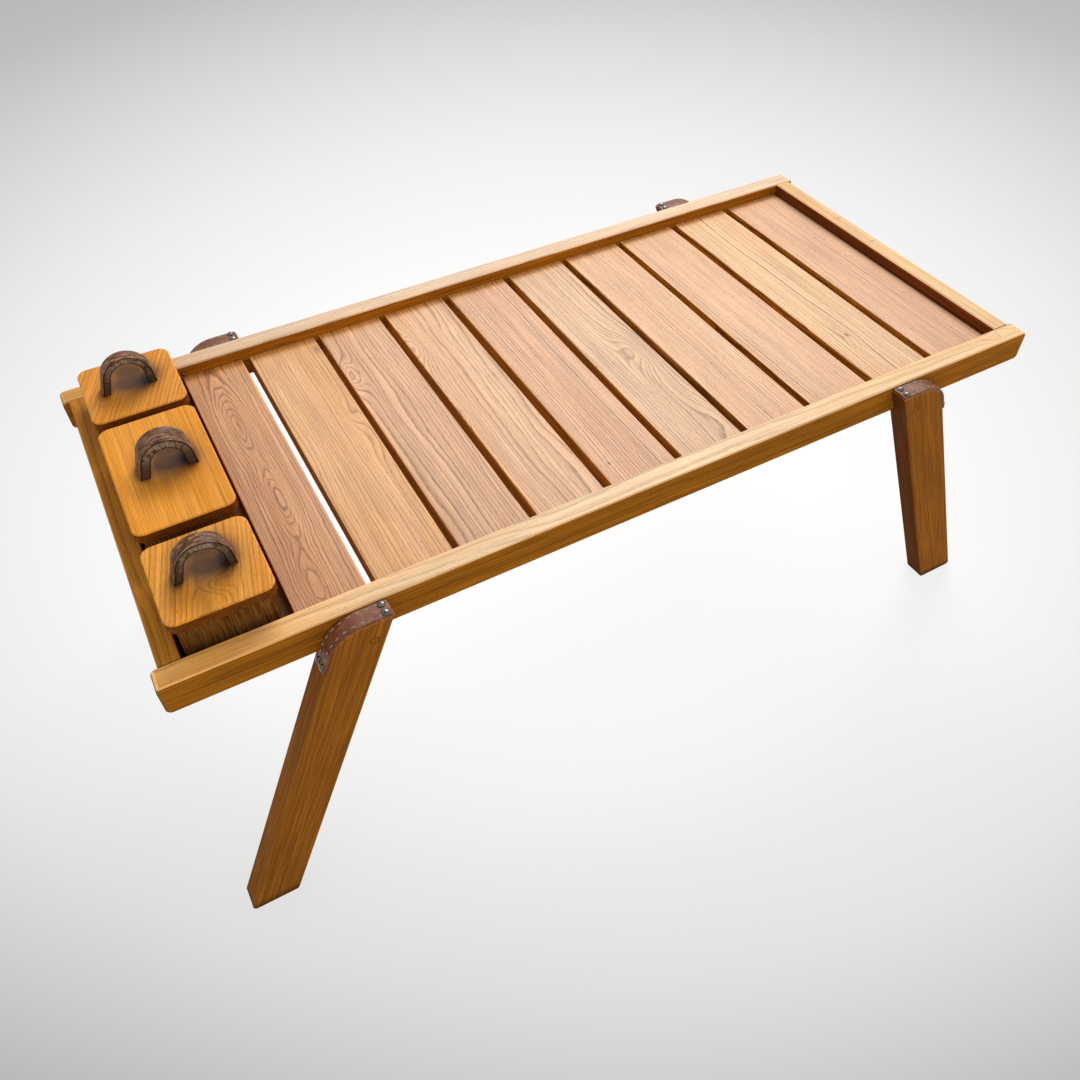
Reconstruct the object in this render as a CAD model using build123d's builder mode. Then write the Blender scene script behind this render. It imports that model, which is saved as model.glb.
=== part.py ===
from build123d import *
from math import acos, atan2, cos, hypot, radians, sin, tan
import os

# A low slatted tray table in elm. Ten thick slats are let into two long rails, and a bay at the
# left end holds three lidded boxes. Four splayed legs are lapped onto the outside of the long
# rails, each capped by a leather strap that is nailed over its rounded top.
# Millimetres. +X runs along the table with the box bay at the -X end, the front is at -Y, +Z is
# up. The origin is on the floor under the middle of the table.

os.makedirs("parts", exist_ok=True)

# ---- Tray frame ----
rail_length = 1100
table_width = 490  # over the outer faces of the long rails
table_height = 435  # floor to the top of the rails
rail_height = 40
rail_thickness = 25
rail_tail = 8  # each long rail runs this far past the end rails
rail_end_radius = 6  # seen from the front
end_rail_thickness = 22
wood_arris = 1.3  # bevel planed along the edges

end_tenon_length = 15
end_tenon_thickness = 9
end_tenon_shoulder = 7  # from the top and the underside of the end rail to its tenon
mortise_end_gap = 1  # glue room past the end of a tenon

# ---- Slats ----
first_slat_width = 75.8
last_slat_width = 90.9
slat_trims = (1.6, -0.9, -1.1, -0.4, -1.5, -0.7, 1.8, 1.5)  # middle slats, against their mean
slat_gaps = (9.7, 7.2, 8.9, 10.1, 9.3, 9.1, 9.0, 10.2, 10.5)
slat_recess = 15  # top of the slats below the top of the rails
slat_thickness = 25  # flush with the underside of the rails
slat_arris = 2
slat_tenon_length = 10
slat_tenon_thickness = 10
slat_tenon_shoulder = 8  # from the slat's edge to the tenon

# ---- Box bay ----
bay_width = 110.5  # end rail to first slat
bearer_gap = 1.5  # between the two bearer boards
bearer_side_gap = 0.5  # end rail or first slat to a bearer board
bearer_thickness = 8
bearer_stub = 8  # length of a bearer let into each long rail
bearer_lift = 4  # underside of a bearer above the underside of the rail

# ---- Legs ----
leg_width = 55
leg_thickness = 30
leg_proud = 22  # how far a leg stands out from the rail's face
leg_splay = 23.5  # degrees from the vertical, along the table
leg_inset = 166.6  # rail end to the leg's outer edge, measured at the top of the rail
leg_top_drop = 5  # wooden top of a leg below the top of the rail
leg_shoulder_radius = 42
foot_radius = 5

leg_screw_inset = 27  # from the inner edge of the leg, along the rail
leg_screw_drop = 30  # below the top of the rail
leg_screw_diameter = 4.5
leg_screw_head_width = 8  # across the flats
leg_screw_head_height = 3
leg_screw_tip_wood = 2  # left between a screw's tip and the slat mortises
plug_diameter = 10
plug_length = 8

# ---- Leather straps over the leg tops ----
strap_thickness = 3
strap_edge_gap = 0.5  # strap to the rail's face, and strap to the leg's front face
strap_corner_radius = 3
strap_end_gap = 1  # between the strap's end and the leg's inner top corner
strap_drop = 51  # lower end of the strap below the top of the rail

nail_head_diameter = 8.6
nail_head_height = 2.8
nail_head_sides = 12
nail_rim_slope = 25  # degrees from upright, over the lower half of the head
nail_crown_slope = 60  # the same over the upper half
nail_shank_width = 2.2
nail_shank_length = 16
nail_spacing = 11
nail_end_distance = 6.5  # strap end to the nails

# ---- Boxes ----
box_end_gap = 5  # end rail to the boxes
box_slat_gap = 13  # boxes to the first slat
small_lid_depth = 110
lid_gap = 15  # between neighbouring lids, on average
lid_rail_gap = 4.5  # outermost lids to the long rails
middle_box_shift = 3  # the middle box stands this much nearer to the rear
lid_overhang = 6.5
lid_thickness = 13
lid_corner_radius = 12
lid_top_arris = 1.3
lid_rise = 38.5  # top of a lid above the top of the rails
box_wall = 8
box_floor = 5
lip_thickness = 5
lip_clearance = 1

# ---- Leather handles ----
small_handle_width = 16.5  # along the depth of the table
large_handle_width = 25
loop_radius = 28  # of the arch, over the outer leather
loop_centre_lift = 13  # centre of the arch above the lid
left_foot_spread = 5  # outer face of a foot past the side of the arch
right_foot_spread = 1
outer_leather_thickness = 2
small_lining_thickness = 7
large_lining_thickness = 9
lining_inset = 0.6  # edge of the outer leather past the lining, each side
large_handle_shift = 5  # the large lid's handle is set this much nearer to the slats

# ---- Places worked out from the sizes above ----
rail_bottom = table_height - rail_height
rail_face_y = table_width / 2
rail_inner_y = rail_face_y - rail_thickness
end_rail_outer_x = rail_length / 2 - rail_tail
end_rail_inner_x = end_rail_outer_x - end_rail_thickness
opening_width = 2 * rail_inner_y

slat_top = table_height - slat_recess
slat_middle_z = slat_top - slat_thickness / 2
slat_start_x = -end_rail_inner_x + bay_width
slat_run = end_rail_inner_x - slat_start_x
middle_slat_room = slat_run - first_slat_width - last_slat_width - sum(slat_gaps)
mean_slat_width = (middle_slat_room - sum(slat_trims)) / len(slat_trims)
middle_slat_widths = [mean_slat_width + trim for trim in slat_trims]
slat_widths = [first_slat_width] + middle_slat_widths + [last_slat_width]
slat_centres = []
for n, width in enumerate(slat_widths):
    left_edge = slat_start_x + sum(slat_widths[:n]) + sum(slat_gaps[:n])
    slat_centres.append(left_edge + width / 2)

bearer_width = (bay_width - bearer_gap) / 2 - bearer_side_gap
bearer_bottom = rail_bottom + bearer_lift
bearer_top = bearer_bottom + bearer_thickness
bearer_centres = (
    -end_rail_inner_x + bearer_side_gap + bearer_width / 2,
    slat_start_x - bearer_side_gap - bearer_width / 2,
)

end_rail_centres = {
    "left": -(end_rail_outer_x + end_rail_inner_x) / 2,
    "right": (end_rail_outer_x + end_rail_inner_x) / 2,
}
end_tenon_height = rail_height - 2 * end_tenon_shoulder
rail_middle_z = table_height - rail_height / 2

leg_front_y = rail_face_y + leg_proud
leg_back_y = leg_front_y - leg_thickness
leg_slope = tan(radians(leg_splay))
leg_level_width = leg_width / cos(radians(leg_splay))
leg_top_z = table_height - leg_top_drop
leg_outer_x = rail_length / 2 - leg_inset  # at the top of the rail
leg_screw_x = leg_outer_x - leg_level_width + leg_screw_inset
leg_screw_z = table_height - leg_screw_drop
mortise_depth = slat_tenon_length + mortise_end_gap
leg_screw_in_rail = rail_thickness - mortise_depth - leg_screw_tip_wood
leg_screw_length = leg_proud - plug_length + leg_screw_in_rail
strap_width = leg_proud - 2 * strap_edge_gap


def leg_edge(z, inward=0):
    """Distance from the middle of the table to a line along the leg, at height z."""
    return leg_outer_x + (table_height - z) * leg_slope - inward


def save(part, label):
    part.label = label
    export_step(part, f"parts/{label}.step")


# ---- Long rails: mortised for the slats, bearers and end rails, drilled for the leg screws ----
for rail_name, y_side in (("front_rail", -1), ("rear_rail", 1)):
    inner_face = Plane.XZ.offset(-y_side * rail_inner_y)
    outer_face = Plane.XZ.offset(-y_side * rail_face_y)
    with BuildPart() as rail:
        with BuildSketch(inner_face):
            with Locations((0, rail_middle_z)):
                RectangleRounded(rail_length, rail_height, rail_end_radius)
        extrude(amount=-y_side * rail_thickness)
        chamfer(rail.faces().filter_by(Axis.Y).edges(), wood_arris)
        with BuildSketch(inner_face):
            for x, width in zip(slat_centres, slat_widths):
                with Locations((x, slat_middle_z)):
                    Rectangle(width - 2 * slat_tenon_shoulder, slat_tenon_thickness)
        extrude(amount=-y_side * mortise_depth, mode=Mode.SUBTRACT)
        with BuildSketch(inner_face):
            for x in bearer_centres:
                with Locations((x, bearer_bottom + bearer_thickness / 2)):
                    Rectangle(bearer_width, bearer_thickness)
        extrude(amount=-y_side * (bearer_stub + mortise_end_gap), mode=Mode.SUBTRACT)
        with BuildSketch(inner_face):
            for x in end_rail_centres.values():
                with Locations((x, rail_middle_z)):
                    Rectangle(end_tenon_thickness, end_tenon_height)
        extrude(amount=-y_side * (end_tenon_length + mortise_end_gap), mode=Mode.SUBTRACT)
        with BuildSketch(outer_face):
            for x in (-leg_screw_x, leg_screw_x):
                with Locations((x, leg_screw_z)):
                    Circle(leg_screw_diameter / 2)
        extrude(amount=y_side * leg_screw_in_rail, mode=Mode.SUBTRACT)
    save(rail.part, rail_name)

# ---- End rails: shouldered against the long rails, with a stub tenon at each end ----
for side_name, x in end_rail_centres.items():
    with BuildPart() as end_rail:
        with BuildSketch(Plane.XY.offset(rail_bottom)):
            with Locations((x, 0)):
                Rectangle(end_rail_thickness, opening_width)
        extrude(amount=rail_height)
        chamfer(end_rail.edges().filter_by(Axis.Y), wood_arris)
        with BuildSketch(Plane.XZ.offset(rail_inner_y + end_tenon_length)):
            with Locations((x, rail_middle_z)):
                Rectangle(end_tenon_thickness, end_tenon_height)
        extrude(amount=-(opening_width + 2 * end_tenon_length))
    save(end_rail.part, f"{side_name}_end_rail")

# ---- Slats: rounded along their upper edges, with a stub tenon at each end ----
for n, (x, width) in enumerate(zip(slat_centres, slat_widths), start=1):
    with BuildPart() as slat:
        with BuildSketch(Plane.XY.offset(slat_top - slat_thickness)):
            with Locations((x, 0)):
                Rectangle(width, opening_width)
        extrude(amount=slat_thickness)
        fillet(slat.edges().filter_by(Axis.Y).group_by(Axis.Z)[-1], slat_arris)
        with BuildSketch(Plane.XZ.offset(rail_inner_y + slat_tenon_length)):
            with Locations((x, slat_middle_z)):
                Rectangle(width - 2 * slat_tenon_shoulder, slat_tenon_thickness)
        extrude(amount=-(opening_width + 2 * slat_tenon_length))
    save(slat.part, f"slat_{n:02d}")

# ---- Bearers: two boards that close the bottom of the bay, for the boxes to stand on ----
for side_name, x in zip(("left", "right"), bearer_centres):
    with BuildPart() as bearer:
        with BuildSketch(Plane.XY.offset(bearer_bottom)):
            with Locations((x, 0)):
                Rectangle(bearer_width, opening_width + 2 * bearer_stub)
        extrude(amount=bearer_thickness)
    save(bearer.part, f"bay_bearer_{side_name}")


# ---- Legs: one splayed post each, lapped over the rail with a shoulder under it ----
def nail_planes(x_side, y_side):
    """Seats of the four nails of one strap, on its outer surface, facing outwards."""
    middle_y = y_side * (rail_face_y + strap_edge_gap + strap_width / 2)
    strap_start = leg_edge(leg_top_z, leg_level_width) + strap_end_gap
    top_x = strap_start + nail_end_distance
    down_z = table_height - strap_drop + nail_end_distance * cos(radians(leg_splay))
    outward_x = strap_thickness * cos(radians(leg_splay))
    outward_z = strap_thickness * sin(radians(leg_splay))
    side_x = leg_edge(down_z) + outward_x
    side_z = down_z + outward_z
    side_normal = (x_side * cos(radians(leg_splay)), 0, sin(radians(leg_splay)))
    planes = []
    for step in (-nail_spacing / 2, nail_spacing / 2):
        y = middle_y + step
        top_seat = (x_side * top_x, y, leg_top_z + strap_thickness)
        side_seat = (x_side * side_x, y, side_z)
        planes.append(Plane(origin=top_seat, x_dir=(0, 1, 0), z_dir=(0, 0, 1)))
        planes.append(Plane(origin=side_seat, x_dir=(0, 1, 0), z_dir=side_normal))
    return planes


leg_corners = []
for x_name, x_side in (("left", -1), ("right", 1)):
    for y_name, y_side in (("front", -1), ("rear", 1)):
        leg_corners.append((f"{y_name}_{x_name}", x_side, y_side))

for corner, x_side, y_side in leg_corners:
    back_face = Plane.XZ.offset(-y_side * leg_back_y)
    front_face = Plane.XZ.offset(-y_side * leg_front_y)
    leg_axis = Axis((0, 0, 0), (x_side * sin(radians(leg_splay)), 0, -cos(radians(leg_splay))))
    with BuildPart() as leg:
        with BuildSketch(back_face) as outline:
            with BuildLine():
                Polyline(
                    (x_side * leg_edge(0), 0),
                    (x_side * leg_edge(leg_top_z), leg_top_z),
                    (x_side * leg_edge(leg_top_z, leg_level_width), leg_top_z),
                    (x_side * leg_edge(0, leg_level_width), 0),
                    close=True,
                )
            make_face()
            top_corners = outline.vertices().group_by(Axis.Y)[-1]
            outer_corner = top_corners.sort_by(Axis.X)[-1 if x_side > 0 else 0]
            fillet(outer_corner, leg_shoulder_radius)
            fillet(outline.vertices().group_by(Axis.Y)[0], foot_radius)
        extrude(amount=-y_side * leg_thickness)
        chamfer(leg.edges().filter_by(leg_axis), wood_arris)
        with BuildSketch(back_face):
            with Locations((x_side * leg_outer_x, rail_bottom)):
                Rectangle(rail_length, table_height, align=(Align.CENTER, Align.MIN))
        extrude(amount=-y_side * (leg_thickness - leg_proud), mode=Mode.SUBTRACT)
        with BuildSketch(front_face):
            with Locations((x_side * leg_screw_x, leg_screw_z)):
                Circle(plug_diameter / 2)
        extrude(amount=y_side * (plug_length + leg_screw_head_height), mode=Mode.SUBTRACT)
        with BuildSketch(front_face):
            with Locations((x_side * leg_screw_x, leg_screw_z)):
                Circle(leg_screw_diameter / 2)
        extrude(amount=y_side * leg_proud, mode=Mode.SUBTRACT)
        with BuildSketch(*nail_planes(x_side, y_side)):
            Rectangle(nail_shank_width, nail_shank_width)
        extrude(amount=-nail_shank_length, mode=Mode.SUBTRACT)
    save(leg.part, f"leg_{corner}")

# ---- Straps: leather bent over the top of each leg, from its inner corner down its outer edge ----
for corner, x_side, y_side in leg_corners:
    half = strap_thickness / 2
    middle_top = leg_top_z + half
    side_offset = half / cos(radians(leg_splay))
    start_x = leg_edge(leg_top_z, leg_level_width) + strap_end_gap
    corner_x = leg_edge(middle_top) + side_offset
    end_z = table_height - strap_drop + half * sin(radians(leg_splay))
    end_x = leg_edge(end_z) + side_offset
    with BuildPart() as strap:
        with BuildSketch(Plane.XZ.offset(-y_side * (rail_face_y + strap_edge_gap))):
            with BuildLine():
                FilletPolyline(
                    (x_side * start_x, middle_top),
                    (x_side * corner_x, middle_top),
                    (x_side * end_x, end_z),
                    radius=leg_shoulder_radius + half,
                )
            trace(line_width=strap_thickness)
        extrude(amount=-y_side * strap_width)
        strap_normal = Axis((0, 0, 0), (x_side * cos(radians(leg_splay)), 0, sin(radians(leg_splay))))
        fillet(strap.edges().filter_by(Axis.Z), strap_corner_radius)
        fillet(strap.edges().filter_by(strap_normal), strap_corner_radius)
        with BuildSketch(*nail_planes(x_side, y_side)):
            Rectangle(nail_shank_width, nail_shank_width)
        extrude(amount=-nail_shank_length, mode=Mode.SUBTRACT)
    save(strap.part, f"leg_strap_{corner}")

# ---- Domed nails with square shanks, four to a strap ----
all_nail_planes = []
for corner, x_side, y_side in leg_corners:
    all_nail_planes += nail_planes(x_side, y_side)
with BuildPart() as strap_nails:
    with BuildSketch(*all_nail_planes):
        RegularPolygon(nail_head_diameter / 2, nail_head_sides)
    extrude(amount=nail_head_height / 2, taper=nail_rim_slope)
    crown_diameter = nail_head_diameter - nail_head_height * tan(radians(nail_rim_slope))
    crown_planes = [plane.offset(nail_head_height / 2) for plane in all_nail_planes]
    with BuildSketch(*crown_planes):
        RegularPolygon(crown_diameter / 2, nail_head_sides)
    extrude(amount=nail_head_height / 2, taper=nail_crown_slope)
    with BuildSketch(*all_nail_planes):
        Rectangle(nail_shank_width, nail_shank_width)
    extrude(amount=-nail_shank_length)
save(strap_nails.part, "strap_nails")

# ---- Hexagon-headed leg screws, sunk under wooden plugs ----
with BuildPart() as leg_screws:
    for corner, x_side, y_side in leg_corners:
        head_plane = Plane.XZ.offset(-y_side * (leg_front_y - plug_length))
        with BuildSketch(head_plane):
            with Locations((x_side * leg_screw_x, leg_screw_z)):
                RegularPolygon(leg_screw_head_width / 2, 6, major_radius=False)
        extrude(amount=y_side * leg_screw_head_height)
        with BuildSketch(head_plane):
            with Locations((x_side * leg_screw_x, leg_screw_z)):
                Circle(leg_screw_diameter / 2)
        extrude(amount=y_side * leg_screw_length)
save(leg_screws.part, "leg_screws")

with BuildPart() as leg_plugs:
    for corner, x_side, y_side in leg_corners:
        with BuildSketch(Plane.XZ.offset(-y_side * leg_front_y)):
            with Locations((x_side * leg_screw_x, leg_screw_z)):
                Circle(plug_diameter / 2)
        extrude(amount=y_side * plug_length)
save(leg_plugs.part, "leg_plugs")

# ---- Boxes: four walls round a floor, a lid with a locating panel, and a leather loop ----
lid_top = table_height + lid_rise
lid_bottom = lid_top - lid_thickness
wall_height = lid_bottom - bearer_top
body_width = bay_width - box_end_gap - box_slat_gap
lid_width = body_width + 2 * lid_overhang
box_x = -end_rail_inner_x + box_end_gap + body_width / 2
lid_room = opening_width - 2 * lid_rail_gap - 2 * lid_gap
large_lid_depth = lid_room - 2 * small_lid_depth
small_box_y = (large_lid_depth + small_lid_depth) / 2 + lid_gap

small_handle = (small_handle_width, small_lining_thickness, 0)
large_handle = (large_handle_width, large_lining_thickness, large_handle_shift)
box_row = (
    ("front", -small_box_y, small_lid_depth, small_handle),
    ("middle", middle_box_shift, large_lid_depth, large_handle),
    ("rear", small_box_y, small_lid_depth, small_handle),
)


def loop_region(x, depth_in):
    """Closed outline of a loop at depth_in under its outer face, down to the lid's underside."""
    radius = loop_radius - depth_in
    centre_z = lid_top + loop_centre_lift
    ends = []
    for x_side, spread in ((-1, left_foot_spread), (1, right_foot_spread)):
        foot = radius + spread
        foot_angle = atan2(loop_centre_lift, foot)
        touch_angle = acos(radius / hypot(foot, loop_centre_lift)) - foot_angle
        touch_x = x + x_side * radius * cos(touch_angle)
        touch = (touch_x, centre_z + radius * sin(touch_angle))
        ends.append((x + x_side * foot, touch))
    (left_x, left_touch), (right_x, right_touch) = ends
    with BuildLine() as outline:
        Polyline(left_touch, (left_x, lid_top), (left_x, lid_bottom), (right_x, lid_bottom))
        Polyline((right_x, lid_bottom), (right_x, lid_top), right_touch)
        ThreePointArc(right_touch, (x, centre_z + radius), left_touch)
    return outline.line


for box_name, y, lid_depth, handle in box_row:
    handle_width, lining_thickness, handle_shift = handle
    handle_x = box_x + handle_shift
    body_depth = lid_depth - 2 * lid_overhang
    inner_width = body_width - 2 * box_wall
    inner_depth = body_depth - 2 * box_wall

    for wall_name, y_side in (("front", -1), ("rear", 1)):
        with BuildPart() as end_wall:
            with BuildSketch(Plane.XY.offset(bearer_top)):
                with Locations((box_x, y + y_side * (body_depth - box_wall) / 2)):
                    Rectangle(body_width, box_wall)
            extrude(amount=wall_height)
        save(end_wall.part, f"box_{box_name}_{wall_name}_wall")

    for wall_name, x_side in (("left", -1), ("right", 1)):
        with BuildPart() as side_wall:
            with BuildSketch(Plane.XY.offset(bearer_top)):
                with Locations((box_x + x_side * (body_width - box_wall) / 2, y)):
                    Rectangle(box_wall, inner_depth)
            extrude(amount=wall_height)
        save(side_wall.part, f"box_{box_name}_{wall_name}_wall")

    with BuildPart() as floor_panel:
        with BuildSketch(Plane.XY.offset(bearer_top)):
            with Locations((box_x, y)):
                Rectangle(inner_width, inner_depth)
        extrude(amount=box_floor)
    save(floor_panel.part, f"box_{box_name}_floor")

    # The two ends of the loop drop through slots in the lid, down to the locating panel.
    loop_thickness = outer_leather_thickness + lining_thickness
    left_slot_x = handle_x - loop_radius - left_foot_spread + loop_thickness / 2
    right_slot_x = handle_x + loop_radius + right_foot_spread - loop_thickness / 2
    with BuildPart() as lid:
        with BuildSketch(Plane.XY.offset(lid_bottom)):
            with Locations((box_x, y)):
                RectangleRounded(lid_width, lid_depth, lid_corner_radius)
        extrude(amount=lid_thickness)
        chamfer(lid.faces().sort_by(Axis.Z)[-1].edges(), lid_top_arris)
        chamfer(lid.faces().sort_by(Axis.Z)[0].edges(), wood_arris)
        with BuildSketch(Plane.XY.offset(lid_top)):
            with Locations((left_slot_x, y), (right_slot_x, y)):
                Rectangle(loop_thickness, handle_width)
        extrude(amount=-lid_thickness, mode=Mode.SUBTRACT)
    save(lid.part, f"lid_{box_name}")

    with BuildPart() as lid_panel:
        with BuildSketch(Plane.XY.offset(lid_bottom)):
            with Locations((box_x, y)):
                Rectangle(inner_width - 2 * lip_clearance, inner_depth - 2 * lip_clearance)
        extrude(amount=-lip_thickness)
    save(lid_panel.part, f"lid_panel_{box_name}")

    layers = (
        ("handle_strap", 0, outer_leather_thickness, handle_width),
        ("handle_lining", outer_leather_thickness, lining_thickness, handle_width - 2 * lining_inset),
    )
    for layer_name, depth_in, thickness, width in layers:
        with BuildPart() as layer:
            with BuildSketch(Plane.XZ.offset(-y + width / 2)):
                make_face(loop_region(handle_x, depth_in).edges())
                inner_line = loop_region(handle_x, depth_in + thickness)
                make_face(inner_line.edges(), mode=Mode.SUBTRACT)
            extrude(amount=-width)
        save(layer.part, f"{layer_name}_{box_name}")
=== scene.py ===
import random
from math import acos, atan2, cos, hypot, pi, radians, sin, tan

import bmesh
import bpy
from mathutils import Matrix, Quaternion, Vector


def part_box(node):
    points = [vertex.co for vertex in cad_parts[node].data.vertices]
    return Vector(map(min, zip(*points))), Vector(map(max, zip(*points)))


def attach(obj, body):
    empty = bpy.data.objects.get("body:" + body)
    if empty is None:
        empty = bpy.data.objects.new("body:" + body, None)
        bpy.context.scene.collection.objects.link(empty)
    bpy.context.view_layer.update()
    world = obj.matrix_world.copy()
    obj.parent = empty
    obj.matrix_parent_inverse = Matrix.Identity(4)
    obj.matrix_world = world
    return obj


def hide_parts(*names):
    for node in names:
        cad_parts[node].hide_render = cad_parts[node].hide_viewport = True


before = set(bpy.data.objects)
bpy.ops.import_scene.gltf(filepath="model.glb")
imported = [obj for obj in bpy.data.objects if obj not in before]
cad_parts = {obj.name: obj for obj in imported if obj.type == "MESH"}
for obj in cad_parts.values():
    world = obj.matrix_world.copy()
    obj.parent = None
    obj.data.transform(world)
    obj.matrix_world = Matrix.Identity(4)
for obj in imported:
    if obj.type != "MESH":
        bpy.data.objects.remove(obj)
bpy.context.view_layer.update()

# ---- Camera, floor and light ----
# The table stands on a wide floor of pale paper, lit by one large soft lamp, like a window, behind
# its right end and by an even white room. The paper's pool of light is painted, as a glow that is
# brightest round the table and greyer far off. Places and sizes here are in metres.
scene = bpy.context.scene
scene.view_settings.view_transform = "Standard"

camera = bpy.data.objects.new("camera", bpy.data.cameras.new("camera"))
camera.data.sensor_width = 36
camera.data.lens = 31.516
camera_roll = radians(-1.213)
camera.location = (-0.46496, -0.83226, 1.14942)
looking_at = Vector((-0.15916, -0.25399, 0.435))
camera.rotation_mode = "QUATERNION"
look = (looking_at - camera.location).to_track_quat("-Z", "Y")
camera.rotation_quaternion = look @ Quaternion((0, 0, 1), camera_roll)
scene.collection.objects.link(camera)
scene.camera = camera


def srgb(hex_colour):
    """A colour written as sRGB hex, as the linear values that the shaders use."""
    channels = [int(hex_colour[i:i + 2], 16) / 255 for i in (1, 3, 5)]
    return tuple(c / 12.92 if c <= 0.04045 else ((c + 0.055) / 1.055) ** 2.4 for c in channels) + (1,)


def add_node(tree, kind, links, stops=(), **settings):
    """Adds one node, sets its inputs to values or links, and gives back its first output.

    `stops` are a colour ramp's, as (position, grey level or colour).
    """
    node = tree.nodes.new("ShaderNode" + kind)
    for setting, value in settings.items():
        setattr(node, setting, value)
    for position, _ in stops[1:-1]:
        node.color_ramp.elements.new(position)
    for i, (position, shade) in enumerate(stops):
        stop = node.color_ramp.elements[i]
        stop.position = position
        stop.color = shade if isinstance(shade, tuple) else (shade, shade, shade, 1)
    for name, value in links.items():
        if isinstance(name, int):
            socket = node.inputs[name]
        else:
            socket = next(s for s in node.inputs if s.name == name and s.enabled)
        if isinstance(value, bpy.types.NodeSocket):
            tree.links.new(value, socket)
        else:
            socket.default_value = value
    return next((s for s in node.outputs if s.enabled), None)


def new_material(name):
    """An empty material, its node tree, and the place in the table's frame, in metres."""
    material = bpy.data.materials.new(name)
    material.use_nodes = True
    tree = material.node_tree
    tree.nodes.clear()
    return material, tree, add_node(tree, "TexCoord", {}).node.outputs["Object"]


def camera_rays(tree):
    """1 for rays from the camera, also by way of a shine or glass, and 0 for rays of light."""
    ray = add_node(tree, "LightPath", {}).node.outputs
    seen = add_node(tree, "Math", {
        0: ray["Is Camera Ray"], 1: ray["Is Glossy Ray"]}, operation="MAXIMUM")
    return add_node(tree, "Math", {0: seen, 1: ray["Is Transmission Ray"]}, operation="MAXIMUM")


# The pool of light on the paper is painted, a glow shaped as a cone from over the front left,
# wider than it is high. Each tone stands at the cosine of the angle from the cone's axis, which
# is 1 in the pool's middle.
pool_apex = (-0.465, -0.832, 1.149)
pool_middle = Vector((-0.164, -0.268, 0.42))
pool_axis = (pool_middle - Vector(pool_apex)).to_track_quat("-Z", "Y")
pool_stretch = 1.55
pool_strength = 1.11
pool_tones = [
    (0.0, "#C8C8C8"), (0.6, "#C0C0C0"), (0.8, "#A4A4A4"), (0.835, "#AAAAAA"), (0.868, "#C2C2C2"),
    (0.914, "#DEDEDE"), (0.950, "#EDEDED"), (0.972, "#F8F8F8"), (0.99, "#FFFFFF")]
shadow_share = 0.22  # of the paper's look that comes from real light, so the table's shadow shows

paper, tree, place = new_material("matt_backdrop_paper")
from_apex = add_node(tree, "Mapping", {
    "Vector": place, "Location": pool_apex, "Rotation": pool_axis.to_euler(),
    "Scale": (pool_stretch, 1, 1),
}, vector_type="TEXTURE")
from_apex = add_node(tree, "VectorMath", {0: from_apex}, operation="NORMALIZE")
behind_apex = add_node(tree, "SeparateXYZ", {0: from_apex}).node.outputs["Z"]
cosine = add_node(tree, "Math", {0: behind_apex, 1: -1.0}, operation="MULTIPLY")
tone = add_node(tree, "ValToRGB", {"Fac": cosine}, stops=[(at, srgb(shade)) for at, shade in pool_tones])
glow = add_node(tree, "Emission", {"Color": tone, "Strength": pool_strength})
lit = add_node(tree, "BsdfDiffuse", {"Color": srgb("#E8E8E6")})
seen = add_node(tree, "MixShader", {"Fac": shadow_share, 1: glow, 2: lit})
surface = add_node(tree, "MixShader", {"Fac": camera_rays(tree), 1: lit, 2: seen})
add_node(tree, "OutputMaterial", {"Surface": surface})

floor_half = 9.0
floor_mesh = bpy.data.meshes.new("backdrop_floor")
floor_mesh.from_pydata(
    [(-floor_half, -floor_half, 0), (floor_half, -floor_half, 0),
     (floor_half, floor_half, 0), (-floor_half, floor_half, 0)],
    [], [(0, 1, 2, 3)])
floor_mesh.materials.append(paper)
floor = bpy.data.objects.new("backdrop_floor", floor_mesh)
scene.collection.objects.link(floor)

room_strength = 0.64
room = bpy.data.worlds.new("white_room")
room.use_nodes = True
scene.world = room
tree = room.node_tree
tree.nodes.clear()
seen_room = add_node(tree, "Background", {"Color": srgb("#D8D8D8"), "Strength": 1.0})
room_light = add_node(tree, "Background", {"Color": srgb("#FFFFFF"), "Strength": room_strength})
surface = add_node(tree, "MixShader", {"Fac": camera_rays(tree), 1: room_light, 2: seen_room})
add_node(tree, "OutputWorld", {"Surface": surface})

window = bpy.data.objects.new("window_lamp", bpy.data.lights.new("window_lamp", "AREA"))
window.data.shape = "RECTANGLE"
window.data.size = 2.4
window.data.size_y = 0.9
window.data.energy = 70
window.location = (1.3, 1.65, 2.5)
window_aim = Vector((0.1, 0, 0.42))
window.rotation_mode = "QUATERNION"
window.rotation_quaternion = (window_aim - window.location).to_track_quat("-Z", "Y")
scene.collection.objects.link(window)

# ---- Long rails ----
# Two straight lengths of elm, planed, bevelled and oiled, that carry everything else. The top is
# worn pale gold; the other faces are a deeper brown, partly old oil and partly painted shade.
MM = 0.001


def cloud(tree, board, seed, long, wide, detail):
    """Noise whose blotches are about `long` by `wide` millimetres, lying along the board."""
    place = add_node(tree, "VectorMath", {
        0: board, 1: (1 / long, 1 / wide, 1 / wide)}, operation="MULTIPLY")
    return add_node(tree, "TexNoise", {
        "Vector": place, "W": seed, "Scale": 1.0, "Detail": detail, "Roughness": 0.5,
    }, noise_dimensions="4D")


def spot(tree, board, at_length, at_width, long, wide):
    """A soft round spot on the board: 1 in its middle, about a third at its rim."""
    off = add_node(tree, "VectorMath", {0: board, 1: (at_length, at_width, 0)}, operation="SUBTRACT")
    off = add_node(tree, "VectorMath", {0: off, 1: (1 / long, 1 / wide, 0)}, operation="MULTIPLY")
    off = add_node(tree, "VectorMath", {0: off, 1: off}, operation="DOT_PRODUCT").node.outputs["Value"]
    off = add_node(tree, "Math", {0: off, 1: -1.0}, operation="MULTIPLY")
    return add_node(tree, "Math", {0: off}, operation="EXPONENT")


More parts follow.
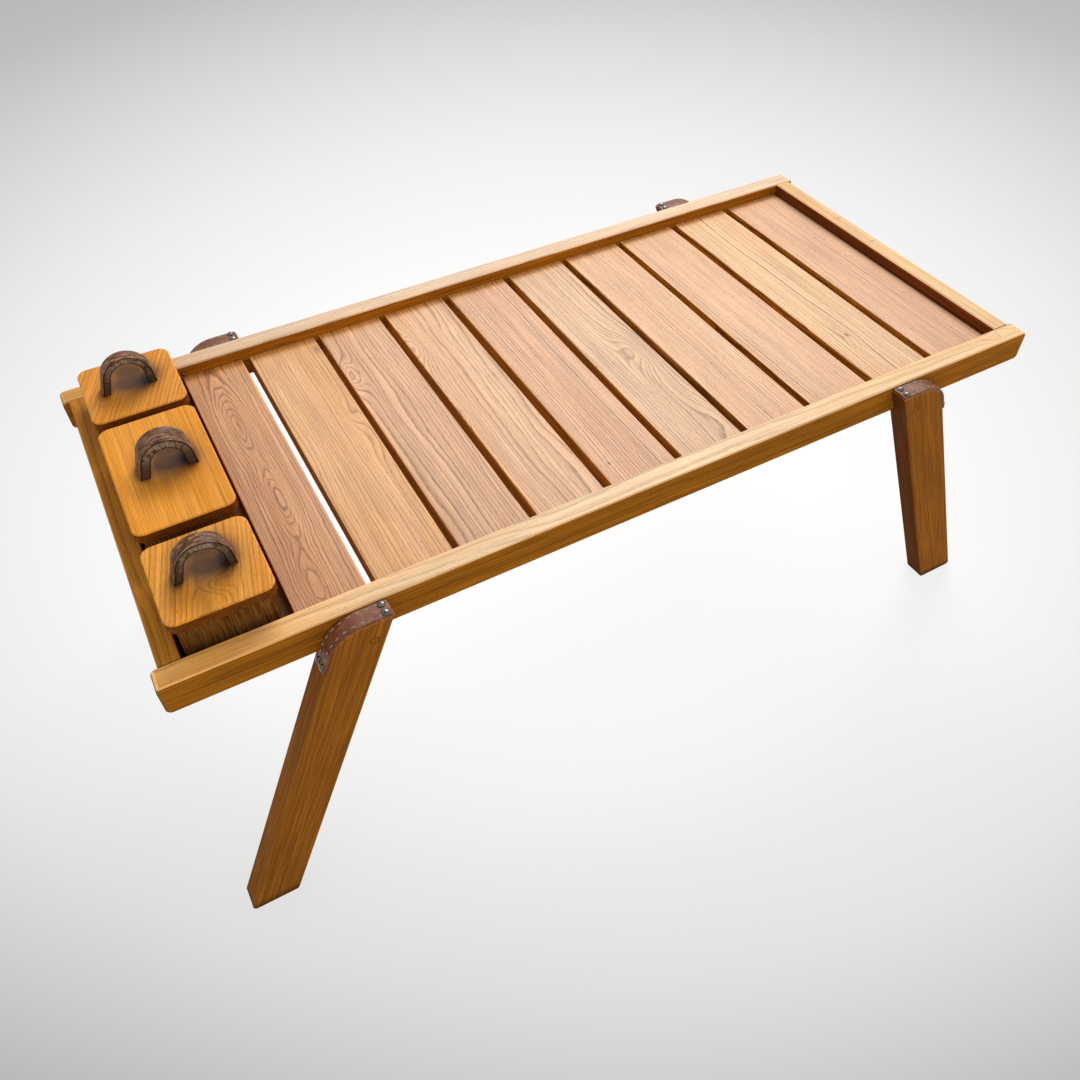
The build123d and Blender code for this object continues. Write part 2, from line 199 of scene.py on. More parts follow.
def ring_radius(tree, board, seed, heart, tilt, wander, knots):
    """Distance from the leaning heart of the log, in millimetres, as the grain would have it.

    The rings drift slowly along the board, shiver a little from fibre to fibre, and bend round
    the knots.
    """
    shiver = 1.5
    from_heart = add_node(tree, "VectorMath", {0: board, 1: (0, *heart)}, operation="SUBTRACT")
    from_heart = add_node(tree, "SeparateXYZ", {0: from_heart}).node.outputs
    sideways = add_node(tree, "Math", {
        0: from_heart["X"], 1: -tilt, 2: from_heart["Y"]}, operation="MULTIPLY_ADD")
    flat = add_node(tree, "CombineXYZ", {"X": sideways, "Y": from_heart["Z"]})
    radius = add_node(tree, "VectorMath", {0: flat}, operation="LENGTH").node.outputs["Value"]
    radius = add_node(tree, "Math", {
        0: cloud(tree, board, seed, 230, 75, 1.5), 1: 2 * wander, 2: radius}, operation="MULTIPLY_ADD")
    radius = add_node(tree, "Math", {
        0: cloud(tree, board, seed, 26, 6, 1.0), 1: shiver, 2: radius}, operation="MULTIPLY_ADD")
    for *knot, rise in knots:
        radius = add_node(tree, "Math", {
            0: spot(tree, board, *knot), 1: rise, 2: radius}, operation="MULTIPLY_ADD")
    return radius


def ring_marks(tree, board, seed, radius, ring, solid, line_share):
    """The dark marks, from 0 to 1, that the rings and pores leave on the board."""
    # Years come wide and narrow in spells of four or so, and each has its own darkness where its
    # porous early wood begins.
    rings = add_node(tree, "Math", {0: radius, 1: 1 / ring}, operation="MULTIPLY")
    years = add_node(tree, "TexNoise", {"W": rings, "Scale": 0.23, "Detail": 1.0}, noise_dimensions="1D")
    rings = add_node(tree, "Math", {0: years, 1: 2.4, 2: rings}, operation="MULTIPLY_ADD")
    year = add_node(tree, "Math", {0: rings}, operation="FRACT")
    number = add_node(tree, "Math", {0: rings}, operation="FLOOR")
    depth = add_node(tree, "TexWhiteNoise", {"W": number}, noise_dimensions="1D")
    depth = add_node(tree, "MapRange", {"Value": depth, "To Min": 0.55, "To Max": 1.0})
    early = add_node(tree, "ValToRGB", {"Fac": year}, stops=[
        (0.0, 0.0), (0.08, 1.0), (0.2, 0.8), (0.36, 0.25), (0.7, 0.06), (1.0, 0.0)])
    early = add_node(tree, "Math", {0: early, 1: depth}, operation="MULTIPLY")
    # Pores are dark dashes about 9 mm long, drawn 0.5 mm wide so that they show: close together in
    # the early wood, and scattered singly over the rest.
    pores = add_node(tree, "MapRange", {
        "Value": cloud(tree, board, seed + 1.9, 9, 0.5, 1.0), "From Min": 0.45, "From Max": 0.68})
    marks = add_node(tree, "Math", {0: pores, 1: 1.3 - solid, 2: solid}, operation="MULTIPLY_ADD")
    marks = add_node(tree, "Math", {0: marks, 1: early}, operation="MULTIPLY")
    single = add_node(tree, "MapRange", {
        "Value": cloud(tree, board, seed + 7.1, 5, 0.7, 0.0),
        "From Min": 0.66, "From Max": 0.78, "To Max": 0.55})
    marks = add_node(tree, "Math", {0: marks, 1: single}, operation="MAXIMUM")
    return add_node(tree, "Math", {0: marks, 1: line_share}, operation="MULTIPLY", use_clamp=True)


def elm(name, node, along, across, top, tint, side, line, ring, heart, wander, seed,
        side_line="#4A2606", tilt=0.0, line_share=0.75, solid=0.6, knots=(), stains_and_painted_light=(), grease_and_painted_shade=(),
        turned=None, dirt=None, sheen=0.5):
    """Planed and oiled elm, sawn from a log: its rings are cut by the board's own faces.

    The wood is `top`, with patches of `tint`, where a face looks up, and `side` on the others;
    `line` and `side_line` are its rings there. The side colour is darker partly from old oil and
    partly as painted shade on faces that get less light. `turned`, (direction, colour), gives the
    faces that look one way a colour of their own. Sizes are millimetres from the board's centre:
    `ring` is the usual spacing of the rings, `heart` the (across, deep) place of the log's centre
    and `wander` how far the rings drift. `tilt` leans the log along the board, and each knot
    (along, across, length, width, rise) pushes the rings aside. `line_share` is the rings'
    strength, and `solid` how much of a ring's line is unbroken. Each stain, and each mark of
    painted light and shade given with them, is (along, across, length, width, strength, colour)
    and lies on the top, with the grain showing through it; grease, and the painted shade given
    with it, is given the same way and hides the grain. `dirt` is how far up from the floor the
    wood is scuffed dark, and `sheen` the gloss of the upward faces.
    """
    lo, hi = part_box(node)
    out_of = Vector(along).cross(Vector(across))
    axes = Matrix((Vector(along), Vector(across), out_of)).transposed()
    material, tree, place = new_material(name)
    normal = place.node.outputs["Normal"]
    board = add_node(tree, "Mapping", {
        "Vector": place, "Location": (lo + hi) / 2,
        "Rotation": axes.to_euler(), "Scale": (MM, MM, MM),
    }, vector_type="TEXTURE")
    radius = ring_radius(tree, board, seed, heart, tilt, wander, knots)
    marks = ring_marks(tree, board, seed, radius, ring, solid, line_share)

    # Fibres run 60 mm or so in streaks over 1 mm wide, within broader streaks and a cloudy mottle
    # of lighter wood.
    fibres = add_node(tree, "MapRange", {
        "Value": cloud(tree, board, seed + 3.3, 60, 1.3, 2.0),
        "From Min": 0.3, "From Max": 0.7, "To Min": 0.8, "To Max": 1.16})
    streaks = add_node(tree, "MapRange", {
        "Value": cloud(tree, board, seed + 4.7, 210, 5, 2.0),
        "From Min": 0.3, "From Max": 0.7, "To Min": 0.87, "To Max": 1.11})
    mottle = add_node(tree, "MapRange", {
        "Value": cloud(tree, board, seed + 9.3, 60, 24, 4.0),
        "From Min": 0.3, "From Max": 0.7, "To Min": 0.95, "To Max": 1.05})
    shade = add_node(tree, "Math", {0: fibres, 1: streaks}, operation="MULTIPLY")
    shade = add_node(tree, "Math", {0: shade, 1: mottle}, operation="MULTIPLY")
    patch = add_node(tree, "MapRange", {
        "Value": cloud(tree, board, seed + 5.3, 300, 17, 2.0), "From Min": 0.38, "From Max": 0.62})

    # Upward faces are pale. The mask below is 1 on the other faces, whose darker colour is partly old
    # oil and partly painted shade.
    facing = add_node(tree, "SeparateXYZ", {0: normal}).node.outputs["Z"]
    not_upward = add_node(tree, "MapRange", {
        "Value": facing, "From Min": 0.35, "From Max": 0.8, "To Min": 1.0, "To Max": 0.0})
    side_colour = srgb(side)
    if turned:
        looks = add_node(tree, "VectorMath", {
            0: normal, 1: turned[0]}, operation="DOT_PRODUCT").node.outputs["Value"]
        looks = add_node(tree, "MapRange", {"Value": looks, "From Min": 0.5, "From Max": 0.95})
        side_colour = add_node(tree, "Mix", {
            "Factor": looks, "A": side_colour, "B": srgb(turned[1])}, data_type="RGBA")
    pale = add_node(tree, "Mix", {"Factor": patch, "A": srgb(top), "B": srgb(tint)}, data_type="RGBA")
    pale = add_node(tree, "Mix", {"Factor": not_upward, "A": pale, "B": side_colour}, data_type="RGBA")
    dark = add_node(tree, "Mix", {
        "Factor": not_upward, "A": srgb(line), "B": srgb(side_line)}, data_type="RGBA")
    colour = add_node(tree, "Mix", {"Factor": marks, "A": pale, "B": dark}, data_type="RGBA")

    # Arrises are painted paler than the faces beside them, a painted highlight, and the fibres show
    # more on the faces that don't look up.
    edge_highlight = add_node(tree, "MapRange", {
        "Value": facing, "From Min": 0.9, "From Max": 0.98, "To Min": 1.5, "To Max": 1.0})
    edge_highlight = add_node(tree, "Mix", {"Factor": not_upward, "A": edge_highlight, "B": 1.0}, data_type="FLOAT")
    contrast = add_node(tree, "MapRange", {"Value": not_upward, "To Min": 1.0, "To Max": 1.6})
    shade = add_node(tree, "Math", {0: shade, 1: contrast}, operation="POWER")
    shade = add_node(tree, "Math", {0: shade, 1: edge_highlight}, operation="MULTIPLY")
    colour = add_node(tree, "VectorMath", {0: colour, 3: shade}, operation="SCALE")

    def mark_strength(at_length, at_width, long, wide, strength):
        """How strong a mark is: `strength` in its middle, and nothing on the sides."""
        on_top = add_node(tree, "MapRange", {"Value": not_upward, "To Min": strength, "To Max": 0.0})
        return add_node(tree, "Math", {
            0: spot(tree, board, at_length, at_width, long, wide), 1: on_top}, operation="MULTIPLY")

    # Stains and painted light tone the wood by the ratio of the two colours; grease and painted
    # shade simply cover it.
    for *mark, mark_colour in stains_and_painted_light:
        ratio = tuple(to / bare for to, bare in zip(srgb(mark_colour), srgb(top)))
        toned = add_node(tree, "Mix", {
            "Factor": mark_strength(*mark), "A": srgb("#FFFFFF"), "B": ratio}, data_type="RGBA")
        colour = add_node(tree, "VectorMath", {0: colour, 1: toned}, operation="MULTIPLY")
    for *mark, cover_colour in grease_and_painted_shade:
        colour = add_node(tree, "Mix", {
            "Factor": mark_strength(*mark), "A": colour, "B": srgb(cover_colour)}, data_type="RGBA")
    if dirt:
        height = add_node(tree, "SeparateXYZ", {0: place}).node.outputs["Z"]
        grime = add_node(tree, "MapRange", {
            "Value": height, "From Min": 0.0, "From Max": dirt * MM, "To Min": 0.75, "To Max": 0.0,
        }, interpolation_type="SMOOTHSTEP")
        colour = add_node(tree, "Mix", {
            "Factor": grime, "A": colour, "B": srgb("#2E1C10")}, data_type="RGBA")

    # Oil leaves a satin shine between the pores, and the sides are dull with age.
    relief = add_node(tree, "Math", {0: marks, 1: -1.0, 2: fibres}, operation="MULTIPLY_ADD")
    bump = add_node(tree, "Bump", {"Strength": 0.3, "Distance": 0.2 * MM, "Height": relief})
    rough = add_node(tree, "MapRange", {"Value": marks, "To Min": 0.48, "To Max": 0.6})
    dull = add_node(tree, "Math", {0: not_upward, 1: 0.9}, operation="MULTIPLY")
    rough = add_node(tree, "Math", {0: rough, 1: dull}, operation="MAXIMUM")
    gloss = add_node(tree, "MapRange", {"Value": not_upward, "To Min": sheen, "To Max": 0.1})
    wood = add_node(tree, "BsdfPrincipled", {
        "Base Color": colour, "Roughness": rough, "Specular IOR Level": gloss, "Normal": bump})
    add_node(tree, "OutputMaterial", {"Surface": wood})
    return material


def finish_node(node, material):
    """Puts one finish on all of a piece that keeps its modelled shape."""
    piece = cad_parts[node]
    for piece_slot in piece.material_slots:
        piece_slot.material = material


lengthwise = (1, 0, 0)
crosswise = (0, 1, 0)
toward_front = (0, -1, 0)
# The front rail's left tail is painted bright gold, painted light for the lids' golden reflection that
# also lifts their shadow there; its left end is darker end grain and painted shade.
finish_node("front_rail", elm(
    "oiled_elm_front_rail", "front_rail", lengthwise, toward_front,
    top="#EABC84", tint="#F0C898", side="#B06C14", line="#7A4618", ring=4.2, heart=(34, 50),
    wander=9, seed=3.1, tilt=0.03, line_share=0.6, turned=((-1, 0, 0), "#6A3812"),
    knots=[(505, 3, 14, 7, 6), (522, -7, 10, 6, -5)],
    stains_and_painted_light=[(-520, 0, 120, 60, 0.95, "#FFB34E")]))
# The rear rail's left tail is painted a darker gold, painted shade of the lids with their golden
# reflection; its left end is darker end grain and painted shade.
finish_node("rear_rail", elm(
    "oiled_elm_rear_rail", "rear_rail", lengthwise, toward_front,
    top="#DAB48C", tint="#E2C09C", side="#B26E14", line="#8A5E32", ring=3.6, heart=(-60, 30),
    wander=9, seed=8.4, line_share=0.55, turned=((-1, 0, 0), "#521E04"),
    stains_and_painted_light=[(-535, 0, 120, 60, 0.95, "#CC8A30")]))

# ---- End rails ----
# Two shorter lengths of the same elm, planed and oiled like the long rails and tenoned between
# them. Two hairline cracks cross the top of the right one.
# The left one's top is darker than the right one's: painted shade of the lids beside it.
finish_node("left_end_rail", elm(
    "oiled_elm_left_end_rail", "left_end_rail", crosswise, lengthwise,
    top="#C88420", tint="#B87418", side="#8A5210", line="#6A3A10", ring=4.6, heart=(40, 50),
    wander=8, seed=1.7, sheen=0.12))
# The right one's side colour is painted shade, for its inner face; its outer face takes the long rails'
# side colour.
finish_node("right_end_rail", elm(
    "oiled_elm_right_end_rail", "right_end_rail", crosswise, lengthwise,
    top="#E6BE8A", tint="#E2B67A", side="#763A10", line="#A87844", ring=3.6, heart=(-70, 20),
    wander=6, seed=6.2, line_share=0.5, turned=((1, 0, 0), "#B06C14"),
    stains_and_painted_light=[(190, 0, 150, 60, 0.5, "#C68E48"), (94, 2, 1.2, 9, 0.6, "#A8602C"),
            (20, 4, 1.2, 8, 0.6, "#8A5026")]))

# ---- Slats ----
# Ten thick elm boards, tenoned into the rails, each from another part of the log: some with
# straight fine lines, some with the ovals and swirls of flat-sawn wood. Their upper edges are
# rounded over. Along the rear rail their ends are golden: old oil pooled there, and painted
# golden light, as the rail throws back into its shadow.
slats = {
    "slat_01": dict(
        top="#D4935E", tint="#DCA170", line="#5E2C10", ring=1.9, heart=(-5, 42), wander=2, seed=11.0,
        line_share=0.85, solid=0.85,
        knots=[(92, -4, 70, 18, -10), (-48, 2, 66, 18, -12), (-185, -8, 60, 18, -9)]),
    "slat_02": dict(
        top="#E0A466", tint="#E8B27C", line="#7A4418", ring=3.4, heart=(-120, 60), wander=10, seed=12.0,
        line_share=0.85, knots=[(0, 41, 60, 12, -8), (53, 30, 26, 8, 6)],
        stains_and_painted_light=[(192, 38, 9, 5, 0.5, "#7A4418"), (53, 30, 7, 3, 0.35, "#8A5424")]),
    "slat_03": dict(
        top="#D49E70", tint="#E0AC80", line="#5E3416", ring=3.3, heart=(-66, 70), wander=9, seed=13.0,
        line_share=0.9, knots=[(117, -37, 34, 12, 13), (30, -10, 60, 14, 5)]),
    "slat_04": dict(
        top="#DCA676", tint="#E6B486", line="#6E421C", ring=3.4, heart=(60, 76), wander=10, seed=14.0,
        line_share=0.88, knots=[(131, -34, 30, 13, 12), (-11, -44, 26, 12, 12)],
        stains_and_painted_light=[(-11, -42, 9, 4, 0.55, "#8A5020")]),
    "slat_05": dict(
        top="#E2A87A", tint="#EAB48A", line="#4A2812", ring=2.9, heart=(-210, 40), wander=7, seed=15.0,
        line_share=1.0, solid=0.75, stains_and_painted_light=[(-177, -27, 2.2, 1.6, 0.9, "#2E1608")]),
    "slat_06": dict(
        top="#DCAC80", tint="#E4B68A", line="#54341C", ring=3.3, heart=(86, 60), wander=9, seed=16.0,
        line_share=0.9, knots=[(-12, 18, 46, 17, 18), (-183, 34, 50, 18, 14)]),
    "slat_07": dict(
        top="#E8B282", tint="#F0BC8E", line="#583218", ring=2.9, heart=(230, 30), wander=7, seed=17.0,
        line_share=1.0, solid=0.7),
    "slat_08": dict(
        top="#E4AE80", tint="#ECB88A", line="#52301A", ring=2.8, heart=(-260, 20), wander=7, seed=18.0,
        line_share=1.0, solid=0.75),
    "slat_09": dict(
        top="#E6B27C", tint="#EEBE8C", line="#5E3818", ring=3.2, heart=(170, 60), wander=8, seed=19.0,
        line_share=0.95, solid=0.7, knots=[(-122, -9, 30, 10, 8)],
        stains_and_painted_light=[(-122, -9, 4, 2.6, 0.85, "#4A2A12"), (-60, -8, 75, 5, 0.14, "#7A5030")]),
    "slat_10": dict(
        top="#E2AC80", tint="#EAB68C", line="#52301A", ring=2.9, heart=(-220, 40), wander=6, seed=20.0,
        # Its dark band along the right edge is painted shade, for the shaded gap beside the end rail.
        line_share=1.0, solid=0.75, stains_and_painted_light=[(0, 48, 900, 4.5, 3.0, "#4A2008")]),
}
rear_oil_and_painted_light = (228, 0, 17, 900, 1.0, "#EE9C3E")  # old oil and painted golden light across the rear end of every slat
for node, cut in slats.items():
    cut["stains_and_painted_light"] = cut.get("stains_and_painted_light", []) + [rear_oil_and_painted_light]
    finish_node(node, elm(f"oiled_elm_{node}", node, crosswise, lengthwise, side="#C07A1C", **cut))

# ---- Bay bearers ----
# Two sawn boards of the same wood, without its finish, that close the bottom of the bay. The
# boxes stand on them, and only a dark brown sliver shows beside the boxes.
for node in ("bay_bearer_left", "bay_bearer_right"):
    finish_node(node, elm(
        f"sawn_elm_{node}", node, crosswise, lengthwise,
        top="#7A4A1E", tint="#6A3E16", side="#6A3E16", line="#4A280C", ring=5.0, heart=(60, 60),
        wander=10, seed=4.0, sheen=0.1))

# ---- Legs ----
# Four splayed posts of the same elm, lapped onto the outside of the long rails. They are browner
# than the top, partly old oil and partly painted shade; the faces that look left and down are
# painted darker still as shade, and the floor has scuffed their feet dark.
corners = ("front_left", "front_right", "rear_left", "rear_right")
leg_seeds = (39.0, 42.0, 38.0, 41.0)
leg_splay = radians(23.5)
for corner, seed in zip(corners, leg_seeds):
    outward = -1 if "left" in corner else 1
    down_leg = (outward * sin(leg_splay), 0, -cos(leg_splay))
    across_leg = (cos(leg_splay), 0, outward * sin(leg_splay))
    # Faces that look left and down take a darker colour of their own: painted shade.
    left_and_down = (-cos(leg_splay), 0, -sin(leg_splay))
    finish_node(f"leg_{corner}", elm(
        f"oiled_elm_leg_{corner}", f"leg_{corner}", down_leg, across_leg,
        top="#B8722A", tint="#A8641F", side="#A4641A", line="#6A3A12", side_line="#5C3010",
        ring=3.8, heart=(60 * outward, 70), wander=8, seed=seed,
        line_share=0.55, turned=(left_and_down, "#68390F"), sheen=0.15, dirt=18))

# ---- Leg screws and plugs ----
# A zinc-plated screw draws each leg to its rail, and a round plug of the same elm, glued in over
# its head, hides it. Dark old finish fills the seam round each plug.
seam_outer, seam_inner = 0.4 * MM, 1.1 * MM  # how far inside a plug's edge the dark ring lies
plug_wood = elm(
    "oiled_elm_plugs", "leg_plugs", (0, 0, 1), (1, 0, 0),
    top="#A8641F", tint="#96571A", side="#A4641A", line="#5A3010", ring=4.0, heart=(30, 60),
    wander=10, seed=41.0, line_share=0.4, sheen=0.1)
lo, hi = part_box("leg_plugs")
plug_radius = (hi.z - lo.z) / 2
plug_middle = (hi.x - plug_radius, 0, (lo.z + hi.z) / 2)
tree = plug_wood.node_tree
place = add_node(tree, "TexCoord", {}).node.outputs["Object"]
place = add_node(tree, "VectorMath", {0: place}, operation="ABSOLUTE")
place = add_node(tree, "VectorMath", {0: place, 1: plug_middle}, operation="SUBTRACT")
place = add_node(tree, "VectorMath", {0: place, 1: (1, 0, 1)}, operation="MULTIPLY")
off_centre = add_node(tree, "VectorMath", {0: place}, operation="LENGTH").node.outputs["Value"]
seam = add_node(tree, "MapRange", {
    "Value": off_centre, "From Min": plug_radius - seam_inner, "From Max": plug_radius - seam_outer})
colour_socket = tree.nodes["Principled BSDF"].inputs["Base Color"]
seamed = add_node(tree, "Mix", {
    "Factor": seam, "A": colour_socket.links[0].from_socket, "B": srgb("#4A260A")}, data_type="RGBA")
tree.links.new(seamed, colour_socket)
finish_node("leg_plugs", plug_wood)

# Zinc plating is a bright grey metal with a faint mottle, about 1 mm across, in its shine.
screw_steel, tree, place = new_material("zinc_plated_screw")
mottle = add_node(tree, "TexNoise", {"Vector": place, "Scale": 1 / (1 * MM), "Detail": 2.0})
rough = add_node(tree, "MapRange", {"Value": mottle, "To Min": 0.3, "To Max": 0.5})
steel = add_node(tree, "BsdfPrincipled", {
    "Base Color": srgb("#B9BABC"), "Metallic": 1.0, "Roughness": rough})
add_node(tree, "OutputMaterial", {"Surface": steel})
finish_node("leg_screws", screw_steel)

# ---- Leather straps over the leg tops ----
# A strap of waxed saddle leather is bent over each leg top from its inner corner down its outer
# edge. It is 3 mm thick, with rounded edges and a groove near each edge that holds the stitches.
strap_thickness = 3 * MM
leg_shoulder_radius = 42 * MM
strap_bend = leg_shoulder_radius + strap_thickness / 2  # to the middle of the leather
strap_corner = 3 * MM
strap_edge_round = 0.8 * MM
strap_crown = 0.35 * MM
groove_inset = 4 * MM
groove_depth = 0.35 * MM
groove_reach = 0.9 * MM  # from the groove's middle to its lip
stitch_pitch = 9.4 * MM
stitch_length = 5.2 * MM
stitch_sink = 0.15 * MM
thread_thickness = 0.9 * MM
nail_clear = 12 * MM  # no stitches within this of the strap's ends
nail_end_distance = 6.5 * MM
nail_spacing = 11 * MM


def leather_colour(tree, place, base, worn, deep):
    """Hide colour and its bump: cloudy wear over a base, with darker creases and pores."""
    wear = add_node(tree, "TexNoise", {
        "Vector": place, "Scale": 1 / (14 * MM), "Detail": 4.0, "Roughness": 0.6})
    wear = add_node(tree, "MapRange", {"Value": wear, "From Min": 0.42, "From Max": 0.68})
    colour = add_node(tree, "Mix", {"Factor": wear, "A": srgb(base), "B": srgb(worn)}, data_type="RGBA")
    # Hide pores are under 1 mm apart, drawn 1.2 mm apart so that they show.
    pores = add_node(tree, "TexVoronoi", {"Vector": place, "Scale": 1 / (1.2 * MM)})
    creases = add_node(tree, "TexNoise", {
        "Vector": place, "Scale": 1 / (5 * MM), "Detail": 5.0, "Roughness": 0.7})
    hollow = add_node(tree, "Math", {0: pores, 1: creases}, operation="MULTIPLY")
    shade = add_node(tree, "MapRange", {
        "Value": hollow, "From Min": 0.05, "From Max": 0.4, "To Min": 0.55, "To Max": 0.0})
    colour = add_node(tree, "Mix", {"Factor": shade, "A": colour, "B": srgb(deep)}, data_type="RGBA")
    bump = add_node(tree, "Bump", {"Strength": 0.5, "Distance": 0.3 * MM, "Height": hollow})
    return colour, bump


def closed_mesh(name, shell):
    """The mesh of what has been built in a shell, which is done with after that."""
    mesh = bpy.data.meshes.new(name)
    shell.to_mesh(mesh)
    shell.free()
    return mesh


def add_piece(name, mesh, materials, body):
    """Makes a mesh into a smooth piece of the table that moves with a body."""
    for material in materials:
        mesh.materials.append(material)
    mesh.polygons.foreach_set("use_smooth", [True] * len(mesh.polygons))
    piece = bpy.data.objects.new(name, mesh)
    scene.collection.objects.link(piece)
    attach(piece, body)
    return piece


def strip_stations(path, width, corner=0):
    """Places along a strip where its section stands, from a path of (x, z, outward x, outward z).

    Each is (distance along, width there, x, z, outward x, outward z). The ends' corners are
    rounded by `corner`, with sections that narrow toward the ends.
    """
    corner_steps = 5
    runs = [0.0]
    for (xa, za, _, _), (xb, zb, _, _) in zip(path, path[1:]):
        runs.append(runs[-1] + hypot(xb - xa, zb - za))
    length = runs[-1]
    wanted = [(s, width) for s in runs]
    if corner:
        clear = corner * 1.2
        rounded = []
        for step in range(corner_steps + 1):
            turn = radians(90) * step / corner_steps
            rounded.append((corner * (1 - cos(turn)), width - 2 * corner * (1 - sin(turn))))
        between = [(s, w) for s, w in wanted if clear < s < length - clear]
        wanted = rounded + between + [(length - s, w) for s, w in reversed(rounded)]
    stations = []
    for s, w in wanted:
        after = next((i for i, run in enumerate(runs) if run >= s - 1e-9 and i > 0), len(runs) - 1)
        share = (s - runs[after - 1]) / (runs[after] - runs[after - 1])
        a, b = path[after - 1], path[after]
        stations.append((s, w) + tuple(p + (q - p) * share for p, q in zip(a, b)))
    return stations


def strip_mesh(name, stations, middle_y, width, section, dark_sides=()):
    """Sweeps a closed section, given as (across, outward) points, along the stations.

    The strip's faces on the `dark_sides` of the section take the mesh's second material.
    """
    mesh = bpy.data.meshes.new(name)
    verts, faces = [], []
    count = len(section)
    for s, w, x, z, out_x, out_z in stations:
        for across, outward in section:
            verts.append((x + out_x * outward, middle_y + across * w / width, z + out_z * outward))
    for row in range(len(stations) - 1):
        for i in range(count):
            j = (i + 1) % count
            faces.append((row * count + i, row * count + j, (row + 1) * count + j, (row + 1) * count + i))
    faces.append(tuple(reversed(range(count))))
    faces.append(tuple(range((len(stations) - 1) * count, len(stations) * count)))
    mesh.from_pydata(verts, [], faces)
    for face in mesh.polygons[:count * (len(stations) - 1)]:
        face.material_index = int(face.index % count in dark_sides)
    shell = bmesh.new()
    shell.from_mesh(mesh)
    bmesh.ops.recalc_face_normals(shell, faces=shell.faces)
    shell.to_mesh(mesh)
    shell.free()
    return mesh


def strip_section(width, thickness, edge_round, crown, groove_in=0.0, back_band=0.0):
    """Outline of a leather strip cut square across: a crowned top, rounded edges and a flat back.

    With `groove_in`, a stitching groove runs that far inside each edge. `back_band` adds a point
    on each edge, that far above the back, where its finish changes.
    """
    half, back = width / 2, -thickness / 2
    top_steps, edge_steps = 26, 4
    points = []
    for i in range(top_steps + 1):
        across = -half + edge_round + (width - 2 * edge_round) * i / top_steps
        rise = thickness / 2 - crown * (across / half) ** 2
        if groove_in:
            off = (abs(across) - (half - groove_in)) / groove_reach
            rise -= groove_depth * max(0.0, 1 - off * off)
        points.append((across, rise))
    edge_top = points[-1][1] - edge_round
    for i in range(1, edge_steps + 1):
        turn = radians(90) * i / edge_steps
        points.append((half - edge_round * (1 - sin(turn)), edge_top + edge_round * cos(turn)))
    if back_band:
        points.append((half, back + back_band))
    points += [(half, back + edge_round / 2), (half - edge_round / 2, back)]
    left = [(-across, rise) for across, rise in reversed(points[top_steps + 1:])]
    return points + [(0.0, back)] + left


def stitch_row(shell, stations, middle_y, across, lift, rng):
    """Lays one row of saddle stitches along a strap, each sunk a little into its groove."""
    s = nail_clear
    while s < stations[-1][0] - nail_clear:
        after = next(i for i, station in enumerate(stations) if station[0] >= s and i > 0)
        a, b = stations[after - 1], stations[after]
        share = (s - a[0]) / max(b[0] - a[0], 1e-9)
        x, z, out_x, out_z = (p + (q - p) * share for p, q in zip(a[2:], b[2:]))
        out = Vector((out_x, 0, out_z)).normalized()
        run = Vector((out.z, 0, -out.x))
        run = (run + Vector((0, 1, 0)) * rng.uniform(-0.09, 0.09)).normalized()
        turned = Matrix((run, out.cross(run), out)).transposed().to_4x4()
        place = Matrix.Translation(Vector((x, middle_y + across, z)) + out * lift)
        size = Matrix.Diagonal((
            stitch_length / 2 * rng.uniform(0.9, 1.05), thread_thickness / 2, thread_thickness / 2, 1))
        bmesh.ops.create_uvsphere(
            shell, u_segments=10, v_segments=8, radius=1.0, matrix=place @ turned @ size)
        s += stitch_pitch


# Wax leaves the smooth hide with a low sheen and lets its red brown show.
strap_leather, tree, place = new_material("waxed_saddle_leather")
colour, bump = leather_colour(tree, place, "#7E4428", "#9C6A48", "#32150A")
hide = add_node(tree, "BsdfPrincipled", {
    "Base Color": colour, "Roughness": 0.45, "Specular IOR Level": 0.35, "Normal": bump,
    "Coat Weight": 0.1, "Coat Roughness": 0.3})
add_node(tree, "OutputMaterial", {"Surface": hide})

# Linen thread is pale and dull; its twist shows as slanting bands, drawn 1.1 mm apart.
linen_thread, tree, place = new_material("waxed_linen_thread")
twist = add_node(tree, "TexWave", {
    "Vector": place, "Scale": 1 / (1.1 * MM), "Distortion": 1.0}, bands_direction="DIAGONAL")
colour = add_node(tree, "Mix", {
    "Factor": twist, "A": srgb("#B9A182"), "B": srgb("#D9C6A6")}, data_type="RGBA")
thread = add_node(tree, "BsdfPrincipled", {"Base Color": colour, "Roughness": 0.7})
add_node(tree, "OutputMaterial", {"Surface": thread})

